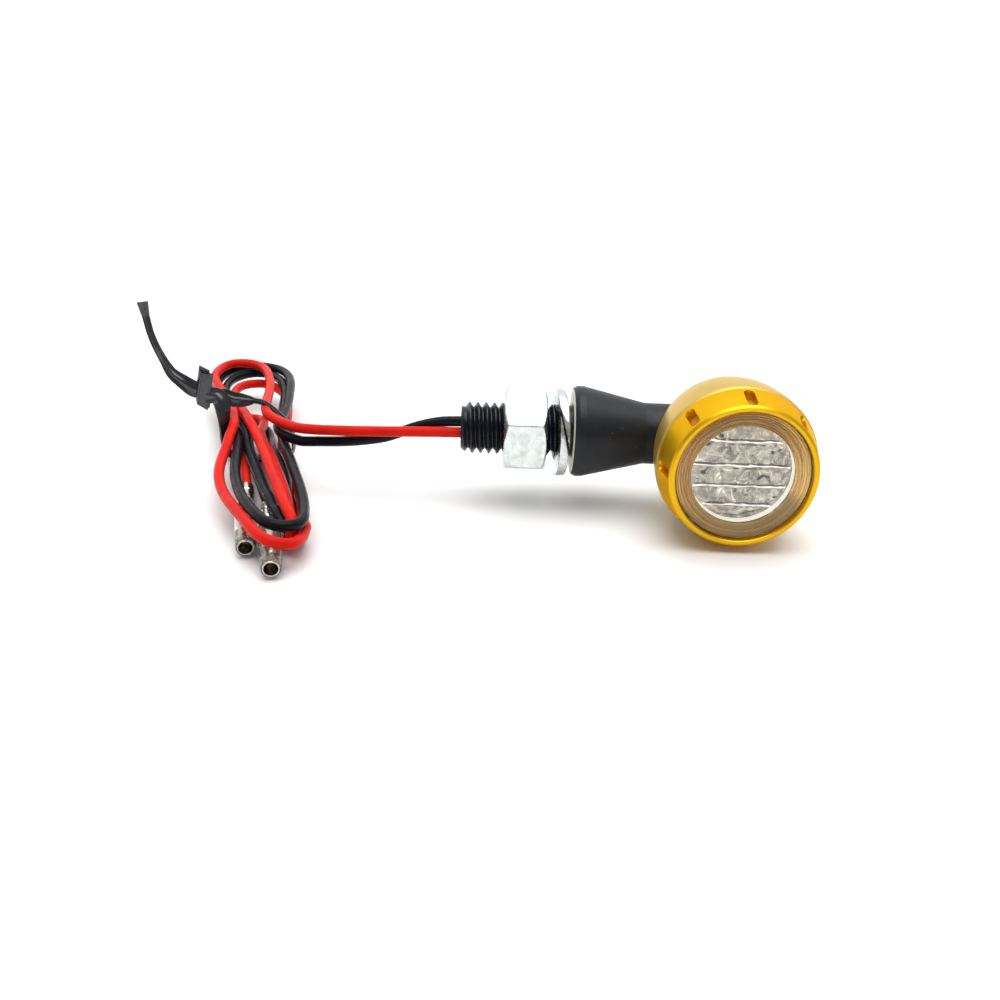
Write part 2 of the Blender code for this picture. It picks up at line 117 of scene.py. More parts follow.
def rounded(corners, steps=4):
    """An outline from (distance, radius, rounding) corners, each rounded off by its own amount."""
    count = len(corners)
    outline = []
    for i, (x, y, size) in enumerate(corners):
        if size <= 0:
            outline.append((x, y))
            continue
        here = np.array((x, y))
        before = np.array(corners[i - 1][:2]) - here
        after = np.array(corners[(i + 1) % count][:2]) - here
        before_length, after_length = np.linalg.norm(before), np.linalg.norm(after)
        before, after = before / before_length, after / after_length
        half = math.acos(max(-1, min(1, before @ after))) / 2
        nearly_half_way = min(before_length, after_length) * 0.49
        reach = min(size / math.tan(half), nearly_half_way)
        a, b = here + before * reach, here + after * reach
        for k in range(steps + 1):
            t = k / steps
            outline.append(tuple((1 - t) ** 2 * a + 2 * t * (1 - t) * here + t**2 * b))
    return outline


def grid_faces(rows, columns, closed=False):
    """Faces of a grid whose last column meets its first. If closed, its last row meets its first too."""
    faces = []
    for i in range(rows if closed else rows - 1):
        here, there = i * columns, (i + 1) % rows * columns
        for j in range(columns):
            k = (j + 1) % columns
            faces.append((here + j, here + k, there + k, there + j))
    return faces


def capped_grid(rows, columns):
    """The same faces, with one over each end."""
    last = (rows - 1) * columns
    ends = [tuple(range(columns)), tuple(last + k for k in reversed(range(columns)))]
    return grid_faces(rows, columns) + ends


def lathe(outline, axis, centre=(0, 0, 0), segments=SEGMENTS, closed=True):
    """Points and faces of an outline of (distance, radius) turned about X or Y through the centre."""
    outline = np.array(outline, float)
    angles = np.arange(segments) * TURN / segments
    distance = np.repeat(outline[:, 0], segments)
    across = (outline[:, 1:2] * np.cos(angles)).ravel()
    rise = (outline[:, 1:2] * np.sin(angles)).ravel()
    order = [distance, across, rise] if axis == "X" else [across, distance, rise]
    return np.stack(order, 1) + np.array(centre), grid_faces(len(outline), segments, closed)


def turned(name, outline, axis, finish, body, centre=(0, 0, 0), segments=SEGMENTS, sharp=SHARP):
    points, faces = lathe(outline, axis, centre, segments)
    return add_mesh(name, points, faces, finish, body, sharp)


def head_turned(name, outline, finish, body="head", sharp=SHARP):
    """A piece turned about the head's axis, which is also the lens's."""
    return turned(name, outline, "Y", finish, body, HEAD, HEAD_SEGMENTS, sharp)


def distances(points):
    """How far along the path each point is."""
    return np.concatenate([[0], np.cumsum(np.linalg.norm(np.diff(points, axis=0), axis=1))])


def spline(points, step):
    """Evenly spaced points on a Catmull-Rom curve through the given ones."""
    p = np.array(points, float)
    last = len(p) - 1
    fine_step = step / 10
    runs = []
    for i in range(last):
        a, b, c, d = p[max(i - 1, 0)], p[i], p[i + 1], p[min(i + 2, last)]
        pieces = max(1, round(float(np.linalg.norm(c - b)) / fine_step))
        t = (np.arange(pieces) / pieces)[:, None]
        run = 2 * b + (c - a) * t + (2 * a - 5 * b + 4 * c - d) * t**2 + (3 * b - a - 3 * c + d) * t**3
        runs.append(run / 2)
    fine = np.concatenate([*runs, p[-1:]])
    travelled = distances(fine)
    even = np.linspace(0, travelled[-1], max(2, round(travelled[-1] / step)) + 1)
    return np.stack([np.interp(even, travelled, fine[:, k]) for k in range(3)], 1)


def frames(path):
    """Unit tangents and two unit normals along a path, turned as little as possible."""
    tangents = np.gradient(path, axis=0)
    tangents /= np.linalg.norm(tangents, axis=1)[:, None]
    side = np.cross(tangents[0], (0, 0, 1.0))
    sides = []
    for tangent in tangents:
        side = side - tangent * (side @ tangent)
        side = side / np.linalg.norm(side)
        sides.append(side)
    sides = np.array(sides)
    return tangents, sides, np.cross(tangents, sides)


def tube(path, radius, sides=20):
    """Points and faces of a round tube with closed ends. The radius is a number or one per point."""
    _, first, second = frames(path)
    radius = np.broadcast_to(np.asarray(radius, float), len(path))
    angles = np.arange(sides) * TURN / sides
    cosines, sines = np.cos(angles)[None, :, None], np.sin(angles)[None, :, None]
    ring = cosines * first[:, None] + sines * second[:, None]
    points = (path[:, None] + ring * radius[:, None, None]).reshape(-1, 3)
    return points, capped_grid(len(path), sides)


def boolean(obj, cutter, operation="DIFFERENCE"):
    """Applies the cutter to the mesh, then removes the cutter."""
    modifier = obj.modifiers.new("cut", "BOOLEAN")
    modifier.operation = operation
    modifier.object = cutter
    modifier.solver = "EXACT"
    apply_modifiers(obj)
    bpy.data.objects.remove(cutter, do_unlink=True)


def apply_modifiers(obj):
    graph = bpy.context.evaluated_depsgraph_get()
    baked = bpy.data.meshes.new_from_object(obj.evaluated_get(graph))
    obj.modifiers.clear()
    obj.data = baked


def bevel(obj, width, angle, segments):
    """Bevels every edge sharper than the angle in degrees."""
    modifier = obj.modifiers.new("bevel", "BEVEL")
    modifier.width = width * MM
    modifier.segments = segments
    modifier.limit_method = "ANGLE"
    modifier.angle_limit = math.radians(angle)
    apply_modifiers(obj)


# Materials


WAVE_PHASE = 20  # radians per unit of length in Blender's wave texture


def fill_ramp(ramp, stops):
    """Gives a colour ramp its (position, value or colour) stops."""
    while len(ramp.elements) < len(stops):
        ramp.elements.new(0.5)
    for element, (position, value) in zip(ramp.elements, stops):
        element.position = position
        element.color = (*value, 1) if isinstance(value, tuple) else (value, value, value, 1)


class Finish:
    """A Principled material with its nodes within reach. Sizes and depths are in millimetres."""

    def __init__(self, name, **sockets):
        self.material = bpy.data.materials.new(name)
        self.material.use_nodes = True
        self.tree = self.material.node_tree
        self.shader = self.tree.nodes["Principled BSDF"]
        self.coordinates = self.tree.nodes.new("ShaderNodeTexCoord").outputs["Object"]
        for socket, value in sockets.items():
            self.set(socket, value)

    def set(self, socket, value):
        value = (*value, 1.0) if isinstance(value, tuple) and len(value) == 3 else value
        self.shader.inputs[socket.replace("_", " ")].default_value = value

    def link(self, output, socket):
        self.tree.links.new(output, self.shader.inputs[socket])

    def node(self, kind, links, **inputs):
        """A new node with these input values and links."""
        node = self.tree.nodes.new("ShaderNode" + kind)
        for name, value in inputs.items():
            node.inputs[name.replace("_", " ")].default_value = value
        for name, output in links.items():
            self.tree.links.new(output, node.inputs[name])
        return node

    def noise(self, size, detail=3.0, rough=0.5, distortion=0.0):
        """Noise whose features are about this size."""
        inputs = {"Scale": 1 / (size * MM), "Detail": detail, "Roughness": rough, "Distortion": distortion}
        return self.node("TexNoise", {"Vector": self.coordinates}, **inputs).outputs["Fac"]

    def cells(self, size):
        """The distance from the nearest of scattered points, which are about this far apart."""
        node = self.node("TexVoronoi", {"Vector": self.coordinates}, Scale=1 / (size * MM))
        return node.outputs["Distance"]

    def rings(self, centre, spacing):
        """Wavering rings about the Y axis through a world point."""
        mapping = self.node("Mapping", {"Vector": self.coordinates}, Location=tuple(-centre))
        scale = TURN / WAVE_PHASE / (spacing * MM)
        inputs = {"Scale": scale, "Distortion": 3.0, "Detail": 2.0, "Detail Scale": 0.4}
        node = self.node("TexWave", {"Vector": mapping.outputs["Vector"]}, **inputs)
        node.wave_type = "RINGS"
        node.rings_direction = "Y"
        return node.outputs["Fac"]

    def ramp(self, source, *stops):
        node = self.node("ValToRGB", {"Fac": source})
        fill_ramp(node.color_ramp, stops)
        return node.outputs["Color"]

    def colour(self, source, *stops):
        self.link(self.ramp(source, *stops), "Base Color")

    def roughness(self, source, *stops):
        self.link(self.ramp(source, *stops), "Roughness")

    def bump(self, source, depth, strength, after=None):
        """A bump of this depth, on top of another if given."""
        links = {"Height": source, "Normal": after} if after else {"Height": source}
        normal = self.node("Bump", links, Strength=strength, Distance=depth * MM).outputs["Normal"]
        self.link(normal, "Normal")
        return normal


def anodised(name, colour, dark, roughness, edge, coat=0.0):
    """Bead-blasted anodised gold. The edge colour tints what it reflects at a low angle."""
    finish = Finish(name, Metallic=0.85, Specular_Tint=edge, Specular_IOR_Level=0.2, Coat_Weight=coat)
    finish.set("Coat_Roughness", 0.35)
    finish.colour(finish.noise(6.0, 2.0), (0.3, dark), (0.7, colour))
    grain = finish.noise(0.12, 2.0)
    finish.roughness(grain, (0.3, roughness - 0.04), (0.7, roughness + 0.05))
    finish.bump(grain, 0.004, 0.6)
    return finish.material


def brushed(name, colour, dark, roughness, metallic, spacing, **sockets):
    """Turned gold: two colours in fine rings about the head's axis."""
    finish = Finish(name, Metallic=metallic, Specular_IOR_Level=0.3, **sockets)
    finish.colour(finish.rings(place(HEAD), spacing), (0.2, dark), (0.8, colour))
    finish.roughness(finish.noise(2.0, 2.0), (0.3, roughness - 0.04), (0.7, roughness + 0.04))
    return finish.material


def plastic(name, colour, dark, roughness, size, depth, **sockets):
    """A moulded or extruded finish: two close colours in a soft cloud, and a fine texture."""
    finish = Finish(name, **sockets)
    finish.colour(finish.noise(size * 12, 3.0), (0.3, dark), (0.7, colour))
    finish.roughness(finish.noise(size * 5, 4.0), (0.3, roughness - 0.07), (0.7, roughness + 0.08))
    finish.bump(finish.noise(size, 3.0), depth, 0.7)
    return finish.material


def plated(name, colour, dark, roughness, pits):
    """Bright plating with handling marks: soft colour patches, dents and fine pits."""
    finish = Finish(name, Metallic=1.0)
    finish.colour(finish.noise(1.6, 5.0, distortion=0.6), (0.35, dark), (0.62, colour))
    finish.roughness(finish.noise(0.9, 6.0, rough=0.7), (0.35, roughness), (0.68, roughness + 0.22))
    broad = finish.bump(finish.noise(1.1, 3.0), 0.02, 0.5)
    fine = finish.ramp(finish.cells(0.5), (0.0, 0.0), (0.22, 1.0))
    finish.bump(fine, pits, 0.5, after=broad)
    return finish.material


def clear(name, colour, roughness, ior, clarity=1.0):
    finish = Finish(name, Base_Color=colour, Transmission_Weight=clarity, IOR=ior)
    finish.roughness(finish.noise(2.5, 4.0), (0.3, roughness), (0.8, roughness + 0.05))
    finish.bump(finish.noise(1.5, 2.0), 0.004, 0.3)
    return finish.material


def dusty(finish, base, speck):
    """Mixes sparse dust specks over the base colour ramp."""
    specks = finish.ramp(finish.cells(1.4), (0.035, 1.0), (0.06, 0.0))
    mix = finish.tree.nodes.new("ShaderNodeMix")
    mix.data_type = "RGBA"
    finish.tree.links.new(specks, mix.inputs["Factor"])
    finish.tree.links.new(base, mix.inputs["A"])
    mix.inputs["B"].default_value = (*speck, 1)
    finish.link(mix.outputs["Result"], "Base Color")


def rubber():
    finish = Finish("rubber", Specular_IOR_Level=0.3)
    tones = (0.3, (0.0065, 0.008, 0.012)), (0.7, (0.010, 0.012, 0.017))
    dusty(finish, finish.ramp(finish.noise(3.0, 3.0), *tones), (0.16, 0.16, 0.17))
    finish.roughness(finish.noise(1.5, 4.0), (0.3, 0.36), (0.7, 0.5))
    finish.bump(finish.noise(0.25, 3.0), 0.012, 0.7)
    return finish.material


def silvered():
    """Bright moulded plastic over a dark well: warm grey clouds broken by paler swirls."""
    finish = Finish("silvered_optic", Metallic=1.0)
    greys = [(0.3, (0.10, 0.095, 0.085)), (0.46, (0.32, 0.30, 0.265))]
    greys += [(0.6, (0.50, 0.475, 0.42)), (0.72, (0.92, 0.90, 0.85))]
    finish.colour(finish.noise(1.7, 5.0, rough=0.65, distortion=1.6), *greys)
    finish.roughness(finish.noise(0.8, 3.0), (0.3, 0.08), (0.7, 0.2))
    finish.bump(finish.noise(0.5, 3.0, distortion=1.0), 0.03, 0.5)
    return finish.material


def painted_glow(colour, strength):
    """Sockets that paint light onto a finish: emission that makes it shine a little by itself, with no lamp
    there.
    """
    return {"Emission_Color": colour, "Emission_Strength": strength}


GOLD = anodised("gold_ring", (0.83, 0.48, 0.017), (0.78, 0.44, 0.014), 0.38, (1.0, 0.72, 0.18))
GOLD_BODY = anodised("gold_body", (0.67, 0.46, 0.10), (0.61, 0.41, 0.08), 0.42, (1.0, 0.85, 0.5), 0.6)
GOLD_INSIDE = brushed("gold_inside", (0.82, 0.56, 0.19), (0.62, 0.38, 0.08), 0.2, 0.7, 0.55)
# The gold deep in the ring's slots glows a little: painted light in place of the light that its shade keeps
# out.
GOLD_DEEP_PAINTED_LIGHT = brushed(
    "gold_deep_painted_light", (0.52, 0.27, 0.035), (0.42, 0.20, 0.02), 0.4, 0.2, 1.0, **painted_glow((0.5, 0.2, 0.01), 0.4)
)
RUBBER = rubber()
STUD_BLACK = plastic(
    "stud_black", (0.010, 0.011, 0.016), (0.006, 0.007, 0.011), 0.3, 0.2, 0.008, Specular_IOR_Level=0.3
)
# The plate's fibre glows a little: painted light on its face, which the washer shades.
PLATE_PAINTED_LIGHT = plastic(
    "plate_fibre_painted_light", (0.78, 0.73, 0.63), (0.66, 0.61, 0.52), 0.5, 0.3, 0.02, **painted_glow((0.8, 0.76, 0.68), 0.22)
)
ZINC = plated("bright_zinc", (0.78, 0.82, 0.80), (0.56, 0.61, 0.60), 0.15, 0.025)
TINNED = plated("tinned_brass", (0.80, 0.76, 0.68), (0.50, 0.46, 0.38), 0.14, 0.012)
RED = plastic(
    "red_pvc", (0.74, 0.020, 0.013), (0.60, 0.013, 0.008), 0.34, 0.35, 0.008, Specular_IOR_Level=0.05
)
BLACK = plastic(
    "black_pvc", (0.009, 0.011, 0.015), (0.005, 0.006, 0.009), 0.3, 0.35, 0.008, Specular_IOR_Level=0.1
)
TIE = plastic(
    "tie_ribbon", (0.024, 0.026, 0.034), (0.010, 0.011, 0.016), 0.25, 0.4, 0.02, Specular_IOR_Level=0.75
)
SILVERED = silvered()
# Glowing white for the crescent round the optic and the lines along its ribs: painted highlights.
PAINTED_HIGHLIGHT_WHITE = plastic(
    "painted_highlight_white", (0.92, 0.91, 0.88), (0.88, 0.87, 0.84), 0.2, 0.4, 0.004, **painted_glow((1.0, 0.98, 0.94), 0.6)
)
LENS = clear("lens_clear", (1.0, 0.985, 0.95), 0.0, 1.4)
VINYL = clear("vinyl_clear", (0.96, 0.95, 0.92), 0.02, 1.3, 0.93)


# The mounting stud, its nut and washer, and the plate


def threaded_stud():
    """The hollow stud with a right-hand helical thread, its flange and spigot."""
    pitch, crest, root, neck = 1.25, 3.9, 3.15, 3.86
    end_x, neck_x, bore = -17.2, -1.6, 2.1
    first_crest, taper, around = -16.25, 0.9, 96
    profile = [(-0.09, crest), (0.09, crest), (0.56, root), (0.69, root)]
    angle = TURN * np.arange(around + 1) / around
    rows = []
    for turn in range(-2, 14):
        for offset, radius in profile:
            x = first_crest + pitch * turn + offset + pitch * np.arange(around + 1) / around
            lead_in = np.clip((x - end_x) / taper, 0, 1)
            run_out = np.clip((x - neck_x + taper) / taper, 0, 1)
            r = np.maximum(root + (radius - root) * lead_in, root + (neck - root) * run_out)
            rows.append(np.stack([np.clip(x, end_x, neck_x), r * np.cos(angle), r * np.sin(angle)], 1))
    columns = around + 1
    faces = []
    for i in range(len(rows) - 1):
        for j in range(around):
            k = i * columns + j
            faces.append((k, k + 1, k + columns + 1, k + columns))
    points = np.concatenate(rows)
    outline = [(end_x, root), (end_x, bore + 0.12), (end_x + 0.12, bore)]
    outline += [(4.4, bore), (4.5, bore + 0.1), (4.5, 3.0), (2.5, 3.0), (2.5, 4.8)]
    outline += [(2.4, 4.9), (1.4, 4.9), (1.3, 4.8), (1.3, neck), (neck_x, neck)]
    more, more_faces = lathe(outline, "X", segments=around, closed=False)
    base = len(points)
    faces += [tuple(base + k for k in face) for face in more_faces]
    stud = add_mesh("stud", np.concatenate([points, more]), faces, STUD_BLACK, "root", sharp=28)
    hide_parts("mounting_stud")


def soft_least(first, second, blur):
    """The smaller of two arrays with a rounded changeover."""
    low = np.minimum(first, second)
    gap = np.abs(first - second)
    return low - np.maximum(0, blur - gap) ** 2 / (4 * blur)


def hex_nut():
    """A bright hexagon nut: rounded corners, chamfered both ends, countersunk bore."""
    middle, half, half_flats = -7.6, 3.2, 6.0
    face_r, slope, blur, bore, sink = 5.75, 1.75, 0.16, 4.02, 0.45
    corner_power = 90  # the higher, the sharper the six corners
    first_flat = math.pi - math.radians(23) + math.pi / 6
    around = 360
    angle = TURN * np.arange(around) / around
    facing = np.stack([np.cos(angle - first_flat - TURN * k / 6) for k in range(6)])
    hexagon = half_flats / (np.maximum(facing, 0) ** corner_power).sum(0) ** (1 / corner_power)

    def ring(x, r):
        return np.stack([np.full(around, middle + x), r * np.cos(angle), r * np.sin(angle)], 1)

    spans = (0, 0.1, 4), (0.14, 1.1, 22), (1.3, half, 8)
    steps = np.concatenate([np.linspace(*span) for span in spans])
    rows = []
    for depth in (*steps, *(2 * half - steps[-2::-1])):
        chamfer = face_r + min(depth, 2 * half - depth) * slope
        rows.append(ring(depth - half, soft_least(hexagon, np.full(around, chamfer), blur)))
    inside = [(half, face_r - 0.25), (half, bore + 0.5), (half - sink, bore), (-half + sink, bore)]
    inside += [(-half, bore + 0.5), (-half, face_r - 0.25)]
    rows += [ring(x, r) for x, r in inside]
    rows.append(rows[0])
    nut = add_mesh("nut", np.concatenate(rows), grid_faces(len(rows), around), ZINC, "nut", sharp=40)
    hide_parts("hex_nut")


def spring_washer():
    """A split lock washer: one turn of square wire, cut on a slant on the side of the lens."""
    middle, yaw, hang = -2.3, math.radians(4.5), 0.28
    outer, inner, half = 6.6, 4.2, 0.7
    slit_angle, half_gap, slant = math.radians(20), math.radians(7.5), math.radians(-60)
    corners = [(-half, inner, 0.12), (-half, outer, 0.26), (half, outer, 0.26), (half, inner, 0.12)]
    section = rounded(corners)
    steps = 240
    points = []
    for k in range(steps + 1):
        t = k / steps
        near_cut = abs(2 * t - 1) ** 4
        sweep = half_gap + (TURN - 2 * half_gap) * t
        for x, r in section:
            angle = math.pi + slit_angle + sweep + slant * x / (2 * half) * near_cut
            points.append((x, r * math.cos(angle), -r * math.sin(angle)))
    turn = np.array(Matrix.Rotation(yaw, 3, "Z"))
    points = np.array(points) @ turn.T + np.array((middle, 0, -hang))
    washer = add_mesh("washer", points, capped_grid(steps + 1, len(section)), ZINC, "washer", sharp=40)
    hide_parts("spring_washer")


def end_plate():
    corners = [(-0.42, 4.2, 0.08), (-0.42, 6.3, 0.04), (-0.1, 6.3, 0.05), (-0.1, 6.1, 0)]
    corners += [(1.0, 6.1, 0.1), (1.0, 4.2, 0.08)]
    # Its fibre glows a little: painted light on the face that the washer shades.
    plate = turned("plate", rounded(corners), "X", PLATE_PAINTED_LIGHT, "root")
    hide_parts("end_plate")


# The rubber stem


FLEX_X = 6.5
HOUSING_R, SHOULDER_Y, BULLET_LENGTH = 11.6, -11.9, 20.0


def bullet(radius, length, steps=48):
    """The quarter ellipse of the housing's outline, from its shoulder to its tip."""
    angles = np.linspace(0, math.pi / 2, steps + 1)[:-1]
    points = [(SHOULDER_Y + length * math.sin(a), radius * math.cos(a)) for a in angles]
    return [*points, (SHOULDER_Y + length, 0)]


def dense(outline, step):
    """The outline with points added along its edges."""
    filled = []
    for (x0, r0), (x1, r1) in zip(outline, outline[1:] + outline[:1]):
        pieces = max(1, int(math.hypot(x1 - x0, r1 - r0) / step))
        filled += [(x0 + (x1 - x0) * k / pieces, r0 + (r1 - r0) * k / pieces) for k in range(pieces)]
    return filled


def stem():
    """The rubber stem in two halves, which meet at the joint's middle."""
    neck, end, gap = 4.63, HEAD_X - 6.5, 0.06
    base = [
        (-0.38, 6.33, 0.03), (-0.38, 6.5, 0.15), (0.25, 6.86, 0.4), (1.2, 6.83, 0.5), (FLEX_X, 5.57, 0),
        (FLEX_X, 2.4, 0), (4.8, 2.4, 0), (4.8, 3.3, 0), (2.8, 3.3, 0), (2.8, 5.2, 0), (1.3, 5.2, 0),
        (1.3, 6.18, 0), (-0.05, 6.18, 0), (-0.05, 6.33, 0),
    ]
    cone = [(FLEX_X, 5.57, 0), (10.5, neck, 1.2), (end, neck, 0), (end, 2.8, 0), (10.1, 2.8, 0)]
    cone += [(10.1, 3.9, 0), (8.3, 3.9, 0), (8.3, 2.4, 0), (FLEX_X, 2.4, 0)]
    step, around = 0.35, 96
    first = turned("stem_base", dense(rounded(base), step), "X", RUBBER, None, segments=around)
    second = turned("stem_neck", dense(rounded(cone), step), "X", RUBBER, None, segments=around)
    head_r, front_y = HOUSING_R + gap, SHOULDER_Y - 4
    outline = [(front_y, 0), (front_y, head_r), *bullet(head_r, BULLET_LENGTH + gap)]
    points, faces = lathe(outline, "Y", HEAD, closed=False)
    boolean(second, add_mesh("head_clearance", points, faces, None))
    for piece, a, b, start, stop in (
        (first, "root", "stem", 2.8, FLEX_X),
        (second, "stem", "head", FLEX_X, 10.2),
    ):
        shade(piece)
        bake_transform(piece)
    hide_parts("stem_boot")


# The head


def housing():
    """The bullet-shaped body with its front sleeve, and the boss inside that takes the stem."""
    wall, inner_r = 1.3, 8.6
    outer = bullet(HOUSING_R, BULLET_LENGTH)
    inner = [p for p in bullet(HOUSING_R - wall, BULLET_LENGTH - 1.4) if p[1] < inner_r]
    rim = [(-15.15, inner_r, 0.08), (-15.15, 9.52, 0.02), (-16.28, 9.52, 0.03), (-16.28, 9.6, 0.03)]
    sleeve = [(-15.3, 9.6, 0.02), (-15.3, 9.72, 0.02), (-11.95, 9.72, 0.05), (-11.95, 11.5, 0.15)]
    outline = rounded(rim) + rounded(sleeve)
    outline += [(-11.8, HOUSING_R), *outer[1:], *reversed(inner), (inner[0][0] - 0.6, inner_r)]
    shell = head_turned("housing", outline, GOLD_BODY, None)
    boss_r, boss_half, sunk = 4.4, 3.35, 0.5
    boss_outline = [(-boss_half, 0), (-boss_half, boss_r), (boss_half, boss_r), (boss_half, 0)]
    boss = turned("boss", boss_outline, "X", GOLD_BODY, None, (HEAD_X - 12.6 + boss_half, 0, 0))
    limit_y, limit_r = SHOULDER_Y - 1, HOUSING_R - sunk
    limit = [(limit_y, 0), (limit_y, limit_r), *bullet(limit_r, BULLET_LENGTH - sunk)]
    boolean(boss, turned("limit", limit, "Y", GOLD_BODY, None, HEAD), "INTERSECT")
    boolean(shell, boss, "UNION")
    hole_x, hole_half, hole_r = 12.5, 5, 2.8
    hole = [(-hole_half, 0), (-hole_half, hole_r), (hole_half, hole_r), (hole_half, 0)]
    boolean(shell, turned("hole", hole, "X", GOLD_BODY, None, (hole_x, 0, 0)))
    shade(shell)
    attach(shell, "head")
    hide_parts("head_housing")


SLOTS, SLOT_WIDTH, SLOT_LENGTH, SLOT_Y = 8, 1.5, 4.1, -14.675
SLOT_DEPTHS = 8.0, 13.0  # radii between which a slot is cut


def slot_cutter(angle, turns=12):
    """A cutter for one slot of the ring: an obround with its length along Y, at an angle from +Z."""
    radius, half = SLOT_WIDTH / 2, (SLOT_LENGTH - SLOT_WIDTH) / 2
    outline = []
    for middle, start in ((SLOT_Y + half, 0), (SLOT_Y - half, math.pi)):
        for k in range(turns + 1):
            a = math.pi * k / turns + start
            outline.append((radius * math.cos(a), middle + radius * math.sin(a)))
    points = [(x, y, depth) for depth in SLOT_DEPTHS for x, y in outline]
    count = len(outline)
    faces = [tuple(range(count)), tuple(range(2 * count - 1, count - 1, -1))]
    faces += [(k, (k + 1) % count, count + (k + 1) % count, count + k) for k in range(count)]
    spin = np.array(Matrix.Rotation(angle, 3, "Y"))
    return add_mesh("slot_cutter", np.array(points) @ spin.T + np.array(HEAD), faces, None)


def bezel():
    corners = [(-12.1, 9.95, 0.05), (-12.1, 11.42, 0.12), (-16.9, 10.49, 0.1), (-17.25, 10.14, 0.12)]
    corners += [(-17.25, 9.74, 0.08), (-17.1, 9.6, 0.05), (-16.8, 9.6, 0.03), (-16.8, 9.95, 0.02)]
    ring = head_turned("bezel", rounded(corners), GOLD, None)
    for k in range(SLOTS):
        boolean(ring, slot_cutter(TURN * k / SLOTS))
    bevel(ring, 0.07, 45, 2)
    shade(ring)
    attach(ring, "head")
    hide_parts("bezel_ring")


def lens():
    """The clear lens over the optic: a flat disc, then shallow steps out to its flange."""
    front = [
        (-17.12, 0), (-17.1, 7.2), (-16.98, 7.45), (-16.85, 7.7), (-16.95, 8.1), (-16.98, 8.6),
        (-16.88, 8.75), (-16.9, 9.15), (-16.78, 9.25), (-16.78, 9.55), (-16.7, 9.62), (-16.36, 9.62),
    ]
    back = [
        (-16.36, 9.2), (-16.5, 9.0), (-16.6, 8.3), (-16.55, 8.1), (-16.7, 7.6), (-16.85, 7.2),
        (-16.85, 0),
    ]
    piece = head_turned("lens_clear", front + back, LENS, sharp=50)
    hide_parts("lens")


def gasket():
    """The gold-brown ring seen through the lens's edge, with fine turned steps."""
    steps = 7
    inner_r, outer_r, inner_y, outer_y = 7.2, 9.45, -16.15, -16.22
    front = []
    for k in range(steps):
        for offset, rise in ((0.12, 0.0), (0.75, 0.13)):
            t = (k + offset) / steps
            front.append((inner_y + (outer_y - inner_y) * t - rise, inner_r + (outer_r - inner_r) * t))
    back = [(outer_y + 0.5, outer_r + 0.05), (inner_y + 0.5, inner_r)]
    ring = head_turned("lens_gasket", [(inner_y, inner_r), *front, *back], GOLD_INSIDE, sharp=25)
    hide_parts("lens_seal")


RIB_HEIGHTS = (4.4, 0.85, -2.2, -5.0)
OPTIC_R, OPTIC_Y = 7.12, -14.45
BUBBLES, BUBBLE_SIZE, BUBBLE_RISE, BUBBLE_SHAPE = 190, (0.28, 0.75), (-0.10, 0.14), 0.6


def pillows(x, z):
    """How far the optic's face stands out: irregular bubbles, in bands with raised ribs between them."""
    rng = np.random.default_rng(11)
    height = np.zeros_like(x)
    for _ in range(BUBBLES):
        cx, cz = rng.uniform(-OPTIC_R, OPTIC_R, 2)
        size = rng.uniform(*BUBBLE_SIZE)
        rise = rng.uniform(*BUBBLE_RISE)
        angle = rng.uniform(0, math.pi)
        u = (x - cx) * math.cos(angle) + (z - cz) * math.sin(angle)
        v = (z - cz) * math.cos(angle) - (x - cx) * math.sin(angle)
        height += rise * np.exp(-((u / size) ** 2) - (v / (size * BUBBLE_SHAPE)) ** 2)
    crest_width, crest_rise, groove_width, groove_depth, groove_drop = 0.16, 0.18, 0.14, 0.04, 0.34
    for z0 in RIB_HEIGHTS:
        reach = math.sqrt(OPTIC_R**2 - z0**2) - 0.45
        ends = 1 / (1 + np.exp((np.abs(x) - reach) / 0.12))
        crest = np.exp(-(((z - z0) / crest_width) ** 2))
        groove = np.exp(-(((z - z0 + groove_drop) / groove_width) ** 2))
        height = height * (1 - 0.8 * crest * ends) + (crest_rise * crest - groove_depth * groove) * ends
    return height


def optic():
    """The silvered inner optic: a bubbly, ribbed face with a smooth bevelled edge."""
    around, rings, smooth_edge = 280, 84, 0.35
    angle = TURN * np.arange(around) / around
    rows = []
    for k in range(1, rings + 1):
        r = OPTIC_R * k / rings
        x, z = r * np.cos(angle), r * np.sin(angle)
        fade = min(1.0, (OPTIC_R - r) / smooth_edge)
        rows.append(np.stack([x, np.full(around, OPTIC_Y) - pillows(x, z) * fade, z], 1))
    r = OPTIC_R + 0.02
    for y in (OPTIC_Y + 0.05, OPTIC_Y + 0.5):
        rows.append(np.stack([r * np.cos(angle), np.full(around, y), r * np.sin(angle)], 1))
    points = np.concatenate(rows)
    faces = grid_faces(len(rows), around)
    faces.append(tuple(reversed(range(around))))
    faces.append(tuple((len(rows) - 1) * around + k for k in range(around)))
    piece = add_mesh("optic", points + np.array(HEAD), faces, SILVERED, "head", sharp=50)
    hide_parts("inner_optic")


def well():
    """The wall round the optic, in glowing white: a painted highlight that shows as a crescent."""
    wall_r, outer, inner, front_y, back_y = 7.22, 7.27, OPTIC_R + 0.03, -16.1, OPTIC_Y + 0.2
    corners = [(front_y, wall_r, 0.03), (front_y, outer, 0.02), (back_y, outer, 0.02)]
    corners += [(back_y, inner, 0.02), (OPTIC_Y - 0.1, inner, 0.05)]
    piece = head_turned("optic_wall_painted_highlight", rounded(corners), PAINTED_HIGHLIGHT_WHITE)


